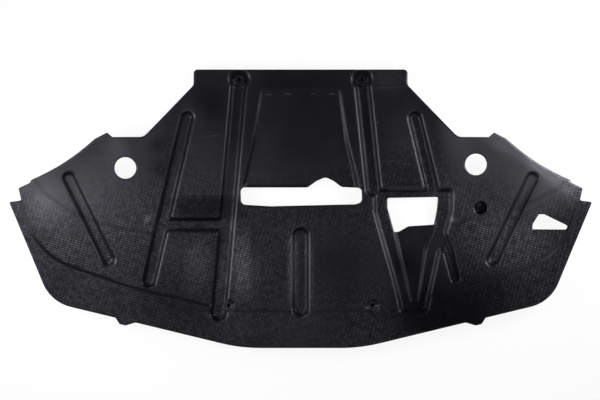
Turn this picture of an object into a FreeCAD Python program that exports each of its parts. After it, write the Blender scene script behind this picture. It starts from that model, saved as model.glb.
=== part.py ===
import FreeCAD, Part
import math
import os
from FreeCAD import Vector

# Engine splash shield: one plastic sheet formed into a shallow tray, seen from its engine side.
# Millimetres. X runs across the vehicle, +Y to the rear edge, +Z up out of the tray.
# The flat middle of the tray is z = 0 while it is modelled.

# Sheet
sheet_thickness = 3.0
wall_draft = 28.0            # lean of every pressed wall from upright, degrees
shoulder_radius = 3.0        # round where a wall leaves the face of the sheet
corner_radius = 6.0          # round where two pressed walls meet

# Outline of the right half, from the middle of the rear edge round to the middle of the front.
# Each corner is x, y and the radius of its round.
rear_edge_y = 277.0
front_edge_y = -280.0
rear_corners = [(214, rear_edge_y, 8), (214, 246, 10), (314, 142, 20)]
wing_tip_corners = [(375, 141.5, 1.5), (385.5, 150.5, 3)]
arch_corners = [(410, 138, 8), (468, 89, 420), (538, 56, 2)]
notch_corners = [(541.5, 50, 2), (563.5, 39.5, 2), (558, 15, 3), (582, 12, 3)]
front_corner = (499.5, -188, 80)
tab_corners = [(370, -219.4, 3), (362, -232, 5), (350, -235, 6), (330, -229, 10)]
chin_corner = (120, front_edge_y, 330)

# Wings: beyond the tongue the sheet climbs towards the wheel arch.
wing_root_x = 248.0          # where the climb starts across the sheet
wing_root_width = 147.0      # it has its full height this much further out
wing_foot_y = -120.0         # where the climb starts along the sheet
wing_bend_length = 60.0      # length of the bend at its foot
wing_slope = 0.11
arch_curl_y = 40.0           # from here the sheet curls up faster
arch_curl = 0.0012
wing_top_y = 160.0           # beyond the tip the climb goes on straight

# Rim: the band outside the crease stands above the tray.
rim_step_front = 3.0
rim_step_side = 8.0
rim_growth_start = 200.0
rim_growth_length = 320.0
crease_foot_radius = 3.0
crease_top_radius = 2.3
crease_side = (573, 90, 1)
crease_corners = [(521.5, -92, 124), (330, -160.5, 400), (130, -206, 250)]

# Pressed stiffening ribs: two end centres and the half width at the face
rib_depth = 12.0
rib_half = 14.5
channel_half = 16.5
bead_half = 17.5
wing_rib = ((463, 59), (385, -103))
inner_rib = ((-227, 180), (-303, -146))
right_rib = ((229, 180), (265, 30))
left_channel = ((-123, 257), (-164, -210))
right_channel = ((123, 257), (146, 38))
crossbar = ((-277, -34), (-150, -34))
centre_bead = ((0, -56), (0, -200))

# Ramp that falls from the rear edge to the long window
ramp_side = [(78, 239, 4), (94, 139, 4), (120, 36, 4)]
ramp_depth = 16.0
ramp_start_step = 0.8

# Frame pressed round the second window, with its two legs
frame_corners = [
    (146, 38, 6), (304, 38, 8), (304, -7, 20), (293, -50, 14), (307, -83, 30), (321, -146, 9),
    (303, -153, 9), (282, -76, 2.6), (253, -209, 8), (200, -209, 8), (181, -133, 60), (153, -37, 60),
    (146, -9, 20)]
# Duct inside the frame: its floor falls from the point in front to the mouth at the window.
duct_corners = [(268, -22, 3), (271, -36, 8), (252, -83, 20), (235, -188, 5), (221, -188, 5),
                (187, -48, 8), (184, -22, 3)]
duct_draft = 18.0
duct_depth_point = 2.5
duct_depth_mouth = 12.0
duct_point_y = -186.0
duct_mouth_y = -16.0

# Round details
pad_places = [(-123, 257), (123, 257)]
pad_radius = 21.0
pad_seat_radius = 12.5
pad_seat_height = 5.0
pad_hole_radius = 3.3
boss_places = [(-144, -195), (144, -195)]
boss_radius = 12.0
boss_depth = 4.0
boss_hole_radius = 3.3
cup_place = (360, 0)
cup_floor_radius = 10.5
cup_depth = 24.0
cup_draft = 0.1

# Openings
access_holes = [(-350, 80), (350, 87)]
access_radius = 21.5
long_window = [
    (-120, 41, 8), (14, 41, 8), (32, 54, 10), (50, 62, 14), (66, 54, 10), (82, 42, 10), (122, 40, 8),
    (122.5, 12, 8), (110, 7.5, 10), (-60, 3.5, 30), (-119, 7, 10)]
second_window = [
    (174, 20, 3), (275, 22, 3), (273, -2, 6), (267, -33.5, 4), (216, -36.5, 16), (197, -47.5, 8),
    (187.5, -48.5, 3), (174, 0, 20)]
wing_window = [
    (476, -12.5, 3), (487, -12.5, 4), (535, -36, 4), (530, -43, 3), (463, -42.5, 3), (464, -32, 8)]

# Working values
draft_slope = math.tan(math.radians(wall_draft))
skin_shift = sheet_thickness / math.cos(math.radians(wall_draft))
air = 12.0                   # how far the pressing tools reach above the flat middle
block_margin = 78.0          # how far the blocks reach past the outline that is cut from them
block_half = notch_corners[-1][0] + block_margin
block_step = 20.0            # two blocks of one kind differ by this much in size
rim_setback = 30.0           # the rim's block ends this far in front of its side corner
rim_reach = 60.0             # height above the middle that clears the rim
overlap = 1.0                # how far a tool reaches past what it meets
least_radius = 0.6
sharp_turn = 0.2             # sine of the least angle between walls that is rounded
surface_match = 0.3          # an edge this close to a height lies on it


def mirrored(corners):
    return [(-c[0],) + tuple(c[1:]) for c in reversed(corners)]


def inset_corners(corners, inset):
    """Moves every side of a clockwise outline inwards and keeps its rounds concentric."""
    count = len(corners)
    moved = []
    for i in range(count):
        before, here, after = corners[i - 1], corners[i], corners[(i + 1) % count]
        a = Vector(here[0] - before[0], here[1] - before[1], 0).normalize()
        b = Vector(after[0] - here[0], after[1] - here[1], 0).normalize()
        turn = a.x * b.y - a.y * b.x
        reach = inset / (1 + a.x * b.x + a.y * b.y)
        x = here[0] + (a.y + b.y) * reach
        y = here[1] - (a.x + b.x) * reach
        radius = here[2] + inset if turn > 0 else here[2] - inset
        moved.append((x, y, max(radius, least_radius)))
    return moved


def outline(corners, z, inset=0.0):
    """Closed wire through the corners, each rounded by an arc of its own radius."""
    corners = inset_corners(corners, inset)
    count = len(corners)
    starts, middles, ends = [], [], []
    for i in range(count):
        here = Vector(corners[i][0], corners[i][1], z)
        back = Vector(corners[i - 1][0], corners[i - 1][1], z) - here
        on = Vector(corners[(i + 1) % count][0], corners[(i + 1) % count][1], z) - here
        half_turn = (math.pi - back.getAngle(on)) / 2
        reach = corners[i][2] * math.tan(half_turn)
        sagitta = corners[i][2] * (1 / math.cos(half_turn) - 1)
        inward = (back.normalize() + on.normalize()).normalize()
        starts.append(here + back * reach)
        middles.append(here + inward * sagitta)
        ends.append(here + on * reach)
    edges = []
    for i in range(count):
        edges.append(Part.Arc(starts[i], middles[i], ends[i]).toShape())
        edges.append(Part.makeLine(ends[i], starts[(i + 1) % count]))
    return Part.Wire(edges)


def capsule(ends, half, z):
    """Closed wire round two end centres."""
    first = Vector(ends[0][0], ends[0][1], z)
    last = Vector(ends[1][0], ends[1][1], z)
    along = (last - first).normalize()
    side = Vector(-along.y, along.x, 0) * half
    return Part.Wire([
        Part.makeLine(first + side, last + side),
        Part.Arc(last + side, last + along * half, last - side).toShape(),
        Part.makeLine(last - side, first - side),
        Part.Arc(first - side, first - along * half, first + side).toShape()])


def wall_inset(z, skin, draft=wall_draft):
    """How far a pressed wall has moved in at height z, on the upper skin (0) or the lower skin (1)."""
    lean = math.radians(draft)
    return -z * math.tan(lean) - skin * sheet_thickness / math.cos(lean)


def pressed(corners, depth, skin, face=0.0, draft=wall_draft):
    """Tool that presses a polygon with rounded corners from a flat face down to a flat floor."""
    bottom = face - depth - skin * sheet_thickness
    low = outline(corners, bottom, wall_inset(bottom - face, skin, draft))
    high = outline(corners, air, wall_inset(air - face, skin, draft))
    return Part.makeLoft([low, high], True, True)


def pressed_rib(ends, half, depth, skin, top=air):
    bottom = -depth - skin * sheet_thickness
    low = capsule(ends, half - wall_inset(bottom, skin), bottom)
    high = capsule(ends, half - wall_inset(top, skin), top)
    return Part.makeLoft([low, high], True, True)


def pressed_round(place, radius, depth, skin):
    bottom = -depth - skin * sheet_thickness
    low_radius = radius - wall_inset(bottom, skin)
    high_radius = radius - wall_inset(air, skin)
    return Part.makeCone(low_radius, high_radius, air - bottom, Vector(place[0], place[1], bottom))


def raised_seat(place, skin):
    """What the round bolt seat keeps standing inside its pad."""
    root = -rib_depth - skin * sheet_thickness - overlap
    top_radius = pad_seat_radius - skin * (skin_shift - sheet_thickness * draft_slope)
    height = pad_seat_height + overlap
    spread = height * draft_slope
    return Part.makeCone(top_radius + spread, top_radius, height, Vector(place[0], place[1], root))


def prism(corners):
    """Upright block through the whole sheet."""
    wire = outline(corners, -block_half / 5)
    return Part.Face(wire).extrude(Vector(0, 0, block_half / 3))


def eased(value, start, length):
    """Rises smoothly from 0 to 1 along a length."""
    share = min(max((value - start) / length, 0), 1)
    return share * share * (3 - 2 * share)


def wing_share(x):
    return eased(abs(x), wing_root_x, wing_root_width)


def wing_climb(y):
    along = min(max(y - wing_foot_y, 0), wing_bend_length)
    climb = wing_slope * along ** 2 / (2 * wing_bend_length)
    climb += wing_slope * max(y - wing_foot_y - wing_bend_length, 0)
    curled = min(max(y - arch_curl_y, 0), wing_top_y - arch_curl_y)
    straight = max(y - wing_top_y, 0)
    return climb + arch_curl * curled ** 2 + 2 * arch_curl * curled * straight


def wing_height(x, y):
    """Height of the face of the sheet above its flat middle."""
    return wing_share(x) * wing_climb(y)


def rim_lift(x):
    growth = eased(abs(x), rim_growth_start, rim_growth_length)
    return rim_step_front + (rim_step_side - rim_step_front) * growth


def rim_height(x, y):
    """Height of the band outside the crease."""
    return wing_height(x, y) + rim_lift(x)


def smooth_poles(stations, values):
    """Poles and knots of the smooth curve through the values at the stations."""
    curve = Part.BSplineCurve()
    points = [Vector(station, value, 0) for station, value in zip(stations, values)]
    curve.interpolate(Points=points, Parameters=stations)
    return curve.getPoles(), curve.getKnots(), curve.getMultiplicities()


def under_surface(drop, half_width, far_edge, lift=None):
    """Solid below the face of the sheet, or below the rim where a lift is given."""
    root, tip = wing_root_x, wing_root_x + wing_root_width
    step = wing_root_width / 4
    right = [0, root / 2, root - step] + [root + i * step for i in range(6)]
    right = right + [tip + wing_root_width, half_width]
    across = [-x for x in reversed(right[1:])] + right
    bend_end = wing_foot_y + wing_bend_length
    along = [-half_width / 2, wing_foot_y - wing_bend_length, wing_foot_y,
             wing_foot_y + wing_bend_length / 2, bend_end, bend_end + wing_bend_length / 2,
             arch_curl_y, arch_curl_y + wing_bend_length, wing_top_y, wing_top_y + wing_bend_length]
    along = [y for y in along if y < far_edge - block_step] + [far_edge]
    x_poles, x_knots, x_mults = smooth_poles(across, [wing_share(x) for x in across])
    y_poles, y_knots, y_mults = smooth_poles(along, [wing_climb(y) for y in along])
    lifts = smooth_poles(across, [lift(x) if lift else 0 for x in across])[0]
    poles = [[Vector(px.x, py.x, px.y * py.y + up.y - drop) for py in y_poles]
             for px, up in zip(x_poles, lifts)]
    surface = Part.BSplineSurface()
    surface.buildFromPolesMultsKnots(poles, x_mults, y_mults, x_knots, y_knots, False, False, 3, 3)
    return surface.toShape().extrude(Vector(0, 0, -half_width / 5))


def below_ramp(near, far, drop):
    """Block below a sloping floor that runs through two (y, z) places and on past both."""
    slope = (far[1] - near[1]) / (far[0] - near[0])
    reach = block_half / 2
    start, end = [Vector(-reach, y, near[1] + slope * (y - near[0]) - drop) for y in (-reach, reach)]
    corners = [start, end, Vector(-reach, reach, -reach), Vector(-reach, -reach, -reach), start]
    return Part.Face(Part.makePolygon(corners)).extrude(Vector(2 * reach, 0, 0))


def on_height(edge, height):
    """True where an edge lies along a height of the sheet."""
    span = edge.LastParameter - edge.FirstParameter
    places = [edge.valueAt(edge.FirstParameter + span * share) for share in (0.25, 0.5, 0.75)]
    return all(abs(p.z - height(p.x, p.y)) < surface_match for p in places)


def tray_block(skin):
    """Solid below the tray and its raised rim, before anything is pressed into it."""
    drop = skin * sheet_thickness
    half = block_half - skin * block_step
    rim_end = crease_side[1] - rim_setback
    base = under_surface(drop, half, rear_edge_y + 2 * block_step)
    rim = under_surface(drop, half - block_step / 2, rim_end, rim_lift)
    crease = [crease_side] + crease_corners
    crease = crease + mirrored(crease)
    low = -overlap - drop
    plug = Part.makeLoft([outline(crease, low, wall_inset(low, skin)),
                          outline(crease, rim_reach, wall_inset(rim_reach, skin))], True, True)
    block = base.fuse(rim.cut(plug))
    if skin == 0:
        for radius, height in ((crease_foot_radius, wing_height), (crease_top_radius, rim_height)):
            inside = [e for e in block.Edges if e.BoundBox.YMin > front_edge_y]
            inside = [e for e in inside if e.CenterOfMass.y < rim_end - overlap]
            block = block.makeFillet(radius, [e for e in inside if on_height(e, height)])
    return block


def sharp_uprights(tool):
    """Edges where two walls of a tool meet at an angle."""
    found = []
    for edge in tool.Edges:
        faces = tool.ancestorsOfType(edge, Part.Face)
        if edge.BoundBox.ZLength < air or len(faces) != 2:
            continue
        middle = edge.valueAt((edge.FirstParameter + edge.LastParameter) / 2)
        normals = [face.normalAt(*face.Surface.parameter(middle)) for face in faces]
        if normals[0].cross(normals[1]).Length > sharp_turn:
            found.append(edge)
    return found


def with_round_corners(tool):
    """Rounds the corners where the walls of joined ribs meet."""
    return tool.makeFillet(corner_radius, sharp_uprights(tool))


def left_network(skin):
    tools = [pressed_rib(left_channel, channel_half, rib_depth, skin),
             pressed_rib(inner_rib, rib_half, rib_depth, skin),
             pressed_rib(crossbar, rib_half, rib_depth, skin),
             pressed_round(pad_places[0], pad_radius, rib_depth, skin)]
    tool = tools[0].multiFuse(tools[1:]).removeSplitter()
    return with_round_corners(tool).cut(raised_seat(pad_places[0], skin))


def right_network(skin):
    """The frame round the second window, with the rib and the channel that run into it."""
    tools = [pressed(frame_corners, rib_depth, skin),
             pressed_rib(right_rib, rib_half, rib_depth, skin),
             pressed_rib(right_channel, channel_half, rib_depth, skin),
             pressed_round(pad_places[1], pad_radius, rib_depth, skin)]
    tool = tools[0].multiFuse(tools[1:]).removeSplitter()
    return with_round_corners(tool).cut(raised_seat(pad_places[1], skin))


def wing_rib_tool(skin):
    """A rib of even depth that follows the climb of the wing."""
    far, near = wing_rib
    low = wing_height(near[0], near[1])
    climb = wing_height(far[0], far[1]) - low
    reach = rib_depth * 2
    tool = pressed_rib(wing_rib, rib_half, reach, skin, reach)
    tool.rotate(Vector(0, near[1], 0), Vector(1, 0, 0), math.degrees(math.atan2(climb, far[1] - near[1])))
    tool.translate(Vector(0, 0, low))
    drop = rib_depth + skin * sheet_thickness
    return tool.cut(under_surface(drop, block_half, rear_edge_y))


def ramp_tool(skin):
    tool = pressed(mirrored(ramp_side) + ramp_side, ramp_depth * 2, skin)
    near = (ramp_side[0][1], -ramp_start_step)
    far = (ramp_side[-1][1], -ramp_depth)
    return tool.cut(below_ramp(near, far, skin * sheet_thickness))


def duct_tool(skin):
    tool = pressed(duct_corners, duct_depth_mouth + sheet_thickness, skin, -rib_depth, duct_draft)
    near = (duct_point_y, -rib_depth - duct_depth_point)
    far = (duct_mouth_y, -rib_depth - duct_depth_mouth)
    return tool.cut(below_ramp(near, far, skin * sheet_thickness))


def cup_tool(skin):
    floor = wing_height(*cup_place) - cup_depth - skin * sheet_thickness
    height = cup_depth * 2
    low = cup_floor_radius + skin * sheet_thickness
    return Part.makeCone(low, low + height * cup_draft, height, Vector(cup_place[0], cup_place[1], floor))


def shoulder_edges(block, tools):
    """Edges where the walls of the pressings leave the face of the block."""
    boxes = [tool.BoundBox for tool in tools]
    found = []
    for edge in block.Edges:
        middle = edge.CenterOfMass
        if edge.BoundBox.ZMin < -overlap or not any(box.isInside(middle) for box in boxes):
            continue
        faces = block.ancestorsOfType(edge, Part.Face)
        walls = [-block_half / 10 < face.BoundBox.ZMin < -rib_depth / 2 for face in faces]
        if len(faces) == 2 and walls[0] != walls[1]:
            found.append(edge)
    return found


def pressed_block(skin):
    """The tray block with every rib, ramp, pad and cup pressed into it."""
    wing = wing_rib_tool(skin)
    bead = pressed_rib(centre_bead, bead_half, rib_depth, skin)
    tools = [left_network(skin), right_network(skin), bead, wing,
             wing.mirror(Vector(0, 0, 0), Vector(1, 0, 0))]
    block = tray_block(skin).cut(tools)
    if skin == 0:
        block = block.makeFillet(shoulder_radius, shoulder_edges(block, tools))
    tools = [ramp_tool(skin), duct_tool(skin), cup_tool(skin)]
    tools += [pressed_round(place, boss_radius, boss_depth, skin) for place in boss_places]
    return block.cut(tools)


def round_hole(place, radius):
    return Part.makeCylinder(radius, block_half / 3, Vector(place[0], place[1], -block_half / 5))


def openings():
    """Everything cut through the sheet."""
    cuts = [prism(corners) for corners in (long_window, second_window, wing_window)]
    cuts += [round_hole(place, access_radius) for place in access_holes]
    cuts += [round_hole(place, pad_hole_radius) for place in pad_places]
    cuts += [round_hole(place, boss_hole_radius) for place in boss_places]
    return cuts


def splash_shield():
    half = rear_corners + wing_tip_corners + arch_corners + notch_corners
    half = half + [front_corner] + tab_corners + [chin_corner]
    sheet = pressed_block(0).cut(pressed_block(1))
    return sheet.common(prism(half + mirrored(half))).cut(openings())


shield = splash_shield().Solids[0]
lowest = min(vertex.Z for vertex in shield.Vertexes)
shield.translate(Vector(0, -(rear_edge_y + front_edge_y) / 2, -lowest))
os.makedirs("parts", exist_ok=True)
shield.exportStep("parts/splash_shield.step")
print("splash_shield", shield.ShapeType, "valid", shield.isValid(), "faces", len(shield.Faces))
print("raised by", round(-lowest, 3), "volume cm3", round(shield.Volume / 1000, 1))
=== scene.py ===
import math

import bmesh
import bpy
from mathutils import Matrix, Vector
from mathutils.bvhtree import BVHTree


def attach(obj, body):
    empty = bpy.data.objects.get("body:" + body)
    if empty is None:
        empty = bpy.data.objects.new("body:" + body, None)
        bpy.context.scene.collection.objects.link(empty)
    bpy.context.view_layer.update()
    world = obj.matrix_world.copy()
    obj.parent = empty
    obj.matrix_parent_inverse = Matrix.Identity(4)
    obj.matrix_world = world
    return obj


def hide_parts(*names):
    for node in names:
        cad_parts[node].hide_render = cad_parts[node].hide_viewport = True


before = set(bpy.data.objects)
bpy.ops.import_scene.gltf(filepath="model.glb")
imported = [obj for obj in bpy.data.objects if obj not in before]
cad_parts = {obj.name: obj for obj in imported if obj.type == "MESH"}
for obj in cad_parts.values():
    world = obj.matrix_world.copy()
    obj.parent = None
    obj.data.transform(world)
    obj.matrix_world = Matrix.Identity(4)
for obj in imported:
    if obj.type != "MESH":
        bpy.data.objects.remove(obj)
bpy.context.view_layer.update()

millimetre = 0.001

# The photograph shows the shield face on, so one scale holds all over it
photo = {
    "width": 600,
    "height": 400,
    "pixel": 2 * millimetre,
    "midX": 300.6,           # pixel column over the frame's X = 0
    "midY": 208.75,          # pixel row over the frame's Y = 0
}


def linear(hexColour):
    channels = [int(hexColour[i:i + 2], 16) / 255 for i in (1, 3, 5)]
    return [c / 12.92 if c <= 0.04045 else ((c + 0.055) / 1.055) ** 2.4 for c in channels] + [1.0]


def addNode(tree, kind, settings=None, inputs=None):
    node = tree.nodes.new("ShaderNode" + kind)
    for name, value in (settings or {}).items():
        setattr(node, name, value)
    for name, value in (inputs or {}).items():
        if isinstance(value, bpy.types.NodeSocket):
            tree.links.new(value, node.inputs[name])
        else:
            node.inputs[name].default_value = value
    return node


def newMaterial(name):
    material = bpy.data.materials.new(name)
    material.use_nodes = True
    material.node_tree.nodes.clear()
    return material, material.node_tree


def newObject(name, data):
    thing = bpy.data.objects.new(name, data)
    bpy.context.scene.collection.objects.link(thing)
    return thing


def fromPhoto(column, row):
    return (column - photo["midX"]) * photo["pixel"], (photo["midY"] - row) * photo["pixel"]


camera = {
    "distance": 10.0,        # a long lens, because the photograph shows no perspective
    "sensor": 36.0,
    "farthest": 100.0,
    "sheetHeight": 0.0263,   # the sheet's flat middle, where the photograph's scale holds
}


def makeCamera():
    data = bpy.data.cameras.new("photoCamera")
    data.sensor_width = camera["sensor"]
    seenWidth = photo["width"] * photo["pixel"]
    data.lens = camera["sensor"] * (camera["distance"] - camera["sheetHeight"]) / seenWidth
    data.clip_end = camera["farthest"]
    eye = newObject("photoCamera", data)
    eye.location = (*fromPhoto(photo["width"] / 2, photo["height"] / 2), camera["distance"])
    bpy.context.scene.camera = eye


makeCamera()
print("camera placed")

light = {
    # name: place, aimed at, size, power
    "softboxes": {
        "leftSoftbox": ((-1.0, 0.0, 0.35), (-0.5, 0.0, 0.0), (0.25, 1.2), 6.1),
        "rightSoftbox": ((1.0, 0.25, 0.35), (0.5, 0.15, 0.0), (0.25, 0.8), 5.2),
        "rearSoftbox": ((-0.8, 1.4, 0.5), (0.0, 0.0, 0.0), (0.6, 0.3), 3.8),
        "middleSoftbox": ((-0.3, -0.15, 1.0), (-0.3, -0.15, 0.0), (0.5, 0.4), 0.44),
        "crossSoftbox": ((1.3, 0.1, 2.4), (-0.5, 0.0, 0.0), (0.5, 0.8), 0.95),
        "frontSoftbox": ((1.5, -3.0, 5.0), (0.0, 0.0, 0.0), (1.4, 1.2), 21.0),
    },
    "spread": 110.0,         # degrees, so that each side is lit by its own lamp
    "tint": "#F4F2FF",       # daylight lamps, a little cold
    "world": "#DDE0E6",
    "worldStrength": 0.09,
}


def addSoftbox(name, place, target, size, power):
    data = bpy.data.lights.new(name, "AREA")
    data.shape = "RECTANGLE"
    data.size, data.size_y = size
    data.energy = power
    data.color = linear(light["tint"])[:3]
    data.spread = math.radians(light["spread"])
    box = newObject(name, data)
    box.location = place
    box.rotation_euler = (Vector(target) - Vector(place)).to_track_quat("-Z", "Y").to_euler()


def makeLight():
    for name, box in light["softboxes"].items():
        addSoftbox(name, *box)
    world = bpy.data.worlds.new("studio")
    bpy.context.scene.world = world
    world.use_nodes = True
    tree = world.node_tree
    tree.nodes.clear()
    room = addNode(tree, "Background", None, {"Color": linear(light["world"]),
                                              "Strength": light["worldStrength"]})
    addNode(tree, "OutputWorld", None, {"Surface": room.outputs[0]})


makeLight()
print("lamps placed")

paper = {
    "size": 8.0,
    "colour": "#FFFFFF",
    "shown": 0.9,            # share of plain white that is seen, and the rest keeps the shadow
    "shade": "#0C0C0C",
    # Painted shade: the paper right under a bolt hole is painted dark, as far as the reach and
    # fully so in its core
    "boltHoles": [(-0.123, 0.2585), (0.123, 0.2585), (-0.144, -0.1935), (0.144, -0.1935)],
    "shadeReach": 4.5 * millimetre,
    "shadeCore": 0.9,
}


def makePaper():
    # White background paper: even and dull, with painted shade under the bolt holes
    material, tree = newMaterial("whitePaper")
    place = addNode(tree, "TexCoord").outputs["Object"]
    # lit is the mask of the painted shade under the bolt holes
    lit = 1.0                # 1 in the open, 0 under a bolt hole
    for hole in paper["boltHoles"]:
        away = addNode(tree, "VectorMath", {"operation": "DISTANCE"},
                       {0: place, 1: (*hole, 0.0)}).outputs["Value"]
        lit = addNode(tree, "MapRange", None,
                      {"Value": away, "From Min": paper["shadeReach"] * paper["shadeCore"],
                       "From Max": paper["shadeReach"], "To Max": lit}).outputs[0]
    path = addNode(tree, "LightPath").outputs
    share = path["Is Camera Ray"]
    for ray in ("Is Glossy Ray", "Is Transmission Ray"):
        share = addNode(tree, "Math", {"operation": "MAXIMUM"}, {0: share, 1: path[ray]}).outputs[0]
    for factor in (paper["shown"], lit):
        share = addNode(tree, "Math", {"operation": "MULTIPLY"}, {0: share, 1: factor}).outputs[0]
    # Painted shade: under the bolt holes the paper takes the shade colour and shows no plain white
    colour = addNode(tree, "Mix", {"data_type": "RGBA"},
                     {0: lit, 6: linear(paper["shade"]), 7: linear(paper["colour"])}).outputs[2]
    dull = addNode(tree, "BsdfDiffuse", None, {"Color": colour})
    plain = addNode(tree, "Emission", None, {"Color": linear(paper["colour"]), "Strength": 1.0})
    both = addNode(tree, "MixShader", None, {0: share, 1: dull.outputs[0], 2: plain.outputs[0]})
    addNode(tree, "OutputMaterial", None, {"Surface": both.outputs[0]})
    return material


def makeFloor():
    bm = bmesh.new()
    bmesh.ops.create_grid(bm, x_segments=1, y_segments=1, size=paper["size"] / 2)
    mesh = bpy.data.meshes.new("paperFloor")
    bm.to_mesh(mesh)
    bm.free()
    mesh.materials.append(makePaper())
    newObject("paperFloor", mesh)


makeFloor()
print("floor laid")

plastic = {
    # The mould is polished in places and satin in others, and the patches below also paint light
    # and shade into the plastic.
    # Polished plastic mirrors the dark room and looks black, and satin plastic catches the lamps
    # and looks grey.
    "polishedAndPaintedShade": "#0A0A0B",
    "satin": "#131215",
    "roughness": (0.27, 0.52),        # of polished and of satin plastic
    "reflects": (0.08, 0.76),         # specular level of the two
    "satinRange": (-0.4, 2.1),        # sum of the patches at which it is the one and the other
    # Painted highlight: where the patches add up highest, on the wheel arches and at the rib ends,
    # the plastic reflects more
    "paintedHighlightRange": (2.1, 4.1),        # sum of the patches over which it gets brighter still
    "paintedHighlightGain": 2.5,                 # and how many times brighter at the end
    "scuffed": "#3A3A40",
    "ior": 1.49,                      # polypropylene
    # Embossed dashes, in the sizes that the photograph shows
    "dashLength": 7.2 * millimetre,
    "dashWidth": 4.5 * millimetre,
    "dashHeight": 0.3 * millimetre,
    "dashTurn": -15.6,                # degrees
    "dashWander": (1.2, 1.0, 0.4),    # distortion, its detail and its scale
    "betweenDashes": 0.4,             # height left between two dashes of a row
    "flatFrom": (0.965, 0.99),        # upward part of the normal, because steep walls are smooth
    "unevenFrom": (0.35, 0.65),       # the grain is stronger in some spots than in others
    "unevenTo": (0.3, 1.7),
    "meanDash": 0.35,                 # what smooth places get instead, so they stay as bright
    "crowns": (0.42, 1.92),           # a dash reflects more on its top than at its foot
    # Noise: length of a feature, detail, roughness
    "waves": (70 * millimetre, 2.0, 0.4),
    "grain": (1.6 * millimetre, 2.0, 0.5),       # etched texture, coarser than real so it shows
    "blotches": (1000 / 9 * millimetre, 5.0, 0.6),
    "uneven": (9 * millimetre, 2.0, 0.5),
    "waveHeight": 0.8 * millimetre,
    "grainHeight": 0.03 * millimetre,
    "edgeSoftness": 6.5 * millimetre,            # moulded edges have no crisp line
    "edgeSamples": 6,
    # Column, row and reach in photograph pixels, and how satin and lit, or below zero how polished
    # and shaded: partly finish, partly painted highlights and painted shade
    "satinPatches": [
        # Painted highlights on the wheel arches at (42, 200) and (548, 174), painted glints at the
        # front ends of ribs at (111, 203), (147, 219), (452, 219) and (492, 202); painted shade in
        # the cup at (480, 208) and at the wing roots at (156, 145) and (161, 170)
        (300, 130, 95, -0.55), (213, 103, 32, -0.5), (425, 305, 50, -0.5), (452, 318, 80, -0.8),
        (490, 312, 60, -0.3), (405, 262, 26, -1.0), (480, 208, 10, -4.0), (335, 265, 50, -0.35),
        (180, 306, 65, -0.55), (195, 232, 34, -0.3), (65, 275, 32, -0.3), (95, 195, 95, 0.85),
        (42, 200, 45, 1.7), (130, 145, 50, 0.5), (111, 203, 6, 3.0), (147, 219, 6, 2.0),
        (452, 219, 6, 2.5), (492, 202, 6, 3.0), (240, 79, 12, -0.8), (363, 79, 12, -0.8),
        (388, 77, 26, 0.6), (60, 240, 35, 0.3), (245, 268, 30, 0.5), (200, 265, 26, 0.2),
        (156, 145, 14, -0.5), (161, 170, 14, -0.5), (548, 174, 55, 2.2), (482, 143, 55, 1.8),
        (490, 215, 75, 0.8), (450, 190, 50, 0.6), (520, 245, 50, 0.7), (405, 145, 40, 0.4)],
    # The same in straight bands: from column and row, to column and row, width, how satin and lit:
    # partly finish, partly painted highlights and painted shade
    "satinBands": [
        # Painted highlights beside the ribs and along the right wheel arch from (495, 133) to (578,
        # 188); painted shade along the creases from (30, 172) to (160, 236) and from (574, 165) to
        # (520, 206)
        (241, 236, 243, 292, 20, 1.3), (293, 236, 293, 300, 13, 1.4), (311, 240, 311, 300, 7, 0.6),
        (199, 243, 195, 285, 26, 0.5), (174, 206, 238, 206, 25, -0.7),
        (226, 240, 219, 300, 8, 0.6), (495, 133, 545, 160, 34, 1.6),
        (545, 160, 578, 188, 34, 1.6), (30, 172, 44, 192, 5, -0.6), (44, 192, 68, 210, 5, -0.6),
        (68, 210, 100, 224, 5, -0.6), (100, 224, 160, 236, 5, -0.5),
        (574, 165, 560, 188, 5, -0.5), (560, 188, 520, 206, 5, -0.5)],
    # Column, row and reach where the embossed dashes fade out, and how far
    "plainPatches": [
        (300, 120, 130, 1.0), (300, 80, 110, 0.6), (410, 262, 60, 1.4), (335, 260, 60, 0.7),
        (105, 165, 90, 0.8), (48, 190, 60, 0.75), (50, 165, 40, 0.5), (545, 178, 62, 0.85),
        (490, 150, 85, 0.75), (215, 140, 80, 0.8), (205, 95, 70, 0.9), (400, 110, 75, 0.9),
        (300, 335, 60, 0.6), (430, 240, 40, 0.3), (480, 208, 12, 1.0)],
    # Scratches, rubbed ticks and specks, given as the bands are, and how pale
    "scuffs": [
        (266, 94.5, 271, 94.5, 2.2, 0.6), (284.5, 94, 290.5, 94, 2.2, 0.6),
        (311.5, 94, 314.5, 94, 2.2, 0.5), (330.5, 94, 334.5, 94, 2.2, 0.5),
        (200, 137.5, 222, 134.5, 1.2, 0.35), (388, 161.5, 395, 161, 1.4, 0.3),
        (400, 164, 412, 164.5, 1.4, 0.35), (89, 203, 96, 203.5, 1.4, 0.3),
        (370, 88.5, 408, 86.5, 1.4, 0.25), (172, 193.8, 240, 193.8, 1.0, 0.2),
        (377, 122.5, 377.8, 123.3, 1.6, 0.6), (533, 165.6, 534, 166.4, 1.8, 0.6)],
    "bandFade": (0.4, 1.2),           # shares of a band's half width where its edge begins and ends
}
wavePeriod = math.tau / 20            # of a wave texture at scale 1


def patchSum(tree, place, patches):
    total = 0.0
    for column, row, reach, amount in patches:
        away = addNode(tree, "VectorMath", {"operation": "DISTANCE"},
                       {0: place, 1: (*fromPhoto(column, row), camera["sheetHeight"])})
        share = addNode(tree, "MapRange", {"interpolation_type": "SMOOTHSTEP"},
                        {"Value": away.outputs["Value"], "From Max": reach * photo["pixel"],
                         "To Min": amount, "To Max": 0.0}).outputs[0]
        total = addNode(tree, "Math", {"operation": "ADD"}, {0: total, 1: share}).outputs[0]
    return total


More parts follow.
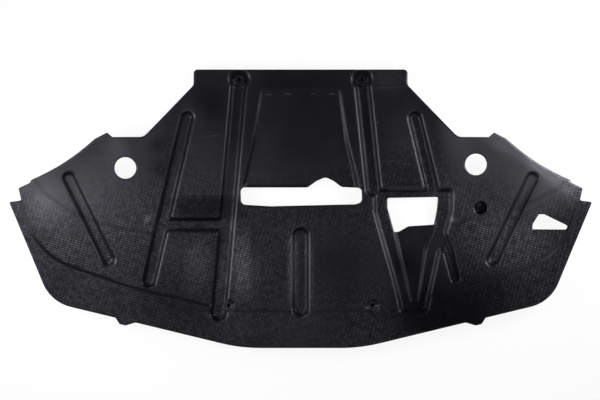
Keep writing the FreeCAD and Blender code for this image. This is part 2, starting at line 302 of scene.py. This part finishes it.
def bandSum(tree, place, bands):
    total = 0.0
    for column, row, endColumn, endRow, width, amount in bands:
        start, end = Vector(fromPhoto(column, row)), Vector(fromPhoto(endColumn, endRow))
        middle, along = (start + end) / 2, end - start
        local = addNode(tree, "Mapping", {"vector_type": "TEXTURE"},
                        {"Vector": place, "Location": (*middle, 0.0),
                         "Rotation": (0, 0, math.atan2(along.y, along.x))}).outputs[0]
        parts = addNode(tree, "SeparateXYZ", None, {0: local}).outputs
        half = width * photo["pixel"] / 2
        for axis, reach in (("X", along.length / 2 + half), ("Y", half)):
            off = addNode(tree, "Math", {"operation": "ABSOLUTE"}, {0: parts[axis]}).outputs[0]
            amount = addNode(tree, "MapRange", {"interpolation_type": "SMOOTHSTEP"},
                             {"Value": off, "From Min": reach * plastic["bandFade"][0],
                              "From Max": reach * plastic["bandFade"][1],
                              "To Min": amount, "To Max": 0.0}).outputs[0]
        total = addNode(tree, "Math", {"operation": "ADD"}, {0: total, 1: amount}).outputs[0]
    return total


def dashPattern(tree, place):
    turned = addNode(tree, "Mapping", {"vector_type": "POINT"},
                     {"Vector": place,
                      "Rotation": (0, 0, -math.radians(plastic["dashTurn"]))}).outputs[0]
    wander, detail, detailScale = plastic["dashWander"]
    rows, columns = [addNode(tree, "TexWave", {"bands_direction": direction},
                             {"Vector": turned, "Scale": wavePeriod / pitch, "Distortion": wander,
                              "Detail": detail, "Detail Scale": detailScale}).outputs["Fac"]
                     for direction, pitch in (("Y", plastic["dashWidth"]),
                                              ("X", plastic["dashLength"]))]
    columns = addNode(tree, "MapRange", None,
                      {"Value": columns, "To Min": plastic["betweenDashes"]}).outputs[0]
    return addNode(tree, "Math", {"operation": "MULTIPLY"}, {0: rows, 1: columns}).outputs[0]


def embossedShare(tree, place):
    # The dashes fade out in the plain patches and on the walls of the pressings
    plain = patchSum(tree, place, plastic["plainPatches"])
    share = addNode(tree, "Math", {"operation": "SUBTRACT", "use_clamp": True},
                    {0: 1.0, 1: plain}).outputs[0]
    normal = addNode(tree, "NewGeometry").outputs["Normal"]
    upward = addNode(tree, "SeparateXYZ", None, {0: normal}).outputs["Z"]
    flat = addNode(tree, "MapRange", None, {"Value": upward, "From Min": plastic["flatFrom"][0],
                                            "From Max": plastic["flatFrom"][1]}).outputs[0]
    return addNode(tree, "Math", {"operation": "MULTIPLY"}, {0: share, 1: flat}).outputs[0]


def makePlastic():
    # Moulded polypropylene: nearly black and half gloss, with an embossed grain that breaks up
    # its reflections, and with painted highlights and painted shade laid into its colour, roughness
    # and specular level by place
    material, tree = newMaterial("mouldedPolypropylene")
    place = addNode(tree, "TexCoord").outputs["Object"]
    waves, grain, blotches, uneven = [
        addNode(tree, "TexNoise", None, {"Vector": place, "Scale": 1 / length, "Detail": detail,
                                         "Roughness": roughness}).outputs["Fac"]
        for length, detail, roughness in (plastic["waves"], plastic["grain"],
                                          plastic["blotches"], plastic["uneven"])]

    # Painted light and shade: the patches, bands and blotches decide by place how pale, rough and
    # shiny the plastic is, mixing a polished and satin finish with painted highlights and painted
    # shade
    satin = patchSum(tree, place, plastic["satinPatches"])
    for part in (blotches, bandSum(tree, place, plastic["satinBands"])):
        satin = addNode(tree, "Math", {"operation": "ADD"}, {0: satin, 1: part}).outputs[0]
    share = addNode(tree, "MapRange", None, {"Value": satin, "From Min": plastic["satinRange"][0],
                                             "From Max": plastic["satinRange"][1]}).outputs[0]
    gloss, sheen = [addNode(tree, "MapRange", None,
                            {"Value": share, "To Min": polishedAndPaintedShade, "To Max": dull}).outputs[0]
                    for polishedAndPaintedShade, dull in (plastic["roughness"], plastic["reflects"])]
    colour = addNode(tree, "Mix", {"data_type": "RGBA"},
                     {0: share, 6: linear(plastic["polishedAndPaintedShade"]),
                      7: linear(plastic["satin"])}).outputs[2]
    colour = addNode(tree, "Mix", {"data_type": "RGBA"},
                     {0: bandSum(tree, place, plastic["scuffs"]), 6: colour,
                      7: linear(plastic["scuffed"])}).outputs[2]

    embossed = embossedShare(tree, place)
    dashes = addNode(tree, "Math", {"operation": "MULTIPLY"},
                     {0: dashPattern(tree, place), 1: embossed}).outputs[0]
    uneven = addNode(tree, "MapRange", None,
                     {"Value": uneven, "From Min": plastic["unevenFrom"][0],
                      "From Max": plastic["unevenFrom"][1], "To Min": plastic["unevenTo"][0],
                      "To Max": plastic["unevenTo"][1]}).outputs[0]
    tops = addNode(tree, "Math", {"operation": "MULTIPLY"}, {0: dashes, 1: uneven}).outputs[0]
    lift = addNode(tree, "MapRange", None, {"Value": embossed, "To Min": plastic["meanDash"],
                                            "To Max": 0.0}).outputs[0]
    tops = addNode(tree, "Math", {"operation": "ADD"}, {0: tops, 1: lift}).outputs[0]
    crowns = addNode(tree, "MapRange", {"clamp": False},
                     {"Value": tops, "To Min": plastic["crowns"][0],
                      "To Max": plastic["crowns"][1]}).outputs[0]
    # Painted highlight: more reflection where the patches add up highest, on the wheel arches and
    # at the rib ends
    paintedHighlight = addNode(tree, "MapRange", None,
                     {"Value": satin, "From Min": plastic["paintedHighlightRange"][0],
                      "From Max": plastic["paintedHighlightRange"][1], "To Min": 1.0,
                      "To Max": plastic["paintedHighlightGain"]}).outputs[0]
    for factor in (crowns, paintedHighlight):
        sheen = addNode(tree, "Math", {"operation": "MULTIPLY"}, {0: sheen, 1: factor}).outputs[0]

    bent = addNode(tree, "Bevel", {"samples": plastic["edgeSamples"]},
                   {"Radius": plastic["edgeSoftness"]}).outputs[0]
    for relief, height in ((waves, plastic["waveHeight"]), (dashes, plastic["dashHeight"]),
                           (grain, plastic["grainHeight"])):
        bent = addNode(tree, "Bump", None, {"Height": relief, "Distance": height,
                                            "Strength": 1.0, "Normal": bent}).outputs[0]
    skin = addNode(tree, "BsdfPrincipled", None, {"Base Color": colour, "Roughness": gloss,
                                                  "Specular IOR Level": sheen,
                                                  "IOR": plastic["ior"], "Normal": bent})
    addNode(tree, "OutputMaterial", None, {"Surface": skin.outputs[0]})
    return material


shieldSheet = {
    "mergeWithin": 0.02 * millimetre,
    "sharpAngle": 38.0,               # degrees, between a wall's foot and the sheet
    "edgeRound": 0.9 * millimetre,
    "edgeSegments": 2,
    "evenWeight": 80,                 # how far large faces set the shading of round edges
}


def mergedNode():
    bm = bmesh.new()
    bm.from_mesh(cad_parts["splash_shield"].data)
    bmesh.ops.remove_doubles(bm, verts=bm.verts, dist=shieldSheet["mergeWithin"])
    return bm


def makeShield(material):
    bm = mergedNode()
    mesh = bpy.data.meshes.new("shieldSheet")
    bm.to_mesh(mesh)
    bm.free()
    loaded = mesh.attributes.get("custom_normal")
    if loaded:
        mesh.attributes.remove(loaded)
    mesh.shade_smooth()
    mesh.set_sharp_from_angle(angle=math.radians(shieldSheet["sharpAngle"]))
    mesh.materials.clear()
    mesh.materials.append(material)
    shield = newObject("shieldSheet", mesh)
    soft = shield.modifiers.new("softEdges", "BEVEL")
    soft.limit_method = "ANGLE"
    soft.angle_limit = math.radians(shieldSheet["sharpAngle"])
    soft.width = shieldSheet["edgeRound"]
    soft.segments = shieldSheet["edgeSegments"]
    even = shield.modifiers.new("evenShade", "WEIGHTED_NORMAL")
    even.keep_sharp = True
    even.weight = shieldSheet["evenWeight"]
    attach(shield, "root")
    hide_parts("splash_shield")


ticks = {
    # column, row and length in photograph pixels
    "places": [(268.5, 94.5, 5.0), (287.5, 94.0, 7.0), (313.0, 94.0, 4.0), (332.5, 94.0, 5.0)],
    "width": 2.6 * millimetre,
    "height": 2.0 * millimetre,
    "sunk": 0.6 * millimetre,
    "round": 0.6 * millimetre,
    "roundSegments": 2,
    "above": 1.0,                     # from where their ground on the ramp is looked up
}


def makeTicks(material):
    sheet = mergedNode()
    ground = BVHTree.FromBMesh(sheet)
    sheet.free()
    bm = bmesh.new()
    for column, row, pixels in ticks["places"]:
        x, y = fromPhoto(column, row)
        foot = ground.ray_cast(Vector((x, y, ticks["above"])), Vector((0, 0, -1)))[0]
        made = bmesh.ops.create_cube(bm, size=1.0)["verts"]
        bmesh.ops.scale(bm, verts=made,
                        vec=(pixels * photo["pixel"], ticks["width"], ticks["height"]))
        bmesh.ops.translate(bm, verts=made,
                            vec=(x, y, foot.z + ticks["height"] / 2 - ticks["sunk"]))
    bmesh.ops.bevel(bm, geom=bm.edges[:], offset=ticks["round"], affect="EDGES",
                    segments=ticks["roundSegments"], profile=0.5, material=-1)
    mesh = bpy.data.meshes.new("rampTicks")
    bm.to_mesh(mesh)
    bm.free()
    mesh.shade_smooth()
    mesh.materials.append(material)
    marks = newObject("rampTicks", mesh)
    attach(marks, "root")


shieldPlastic = makePlastic()
makeShield(shieldPlastic)
print("shield made")
makeTicks(shieldPlastic)
print("ticks made")

bpy.context.scene.view_settings.view_transform = "Standard"
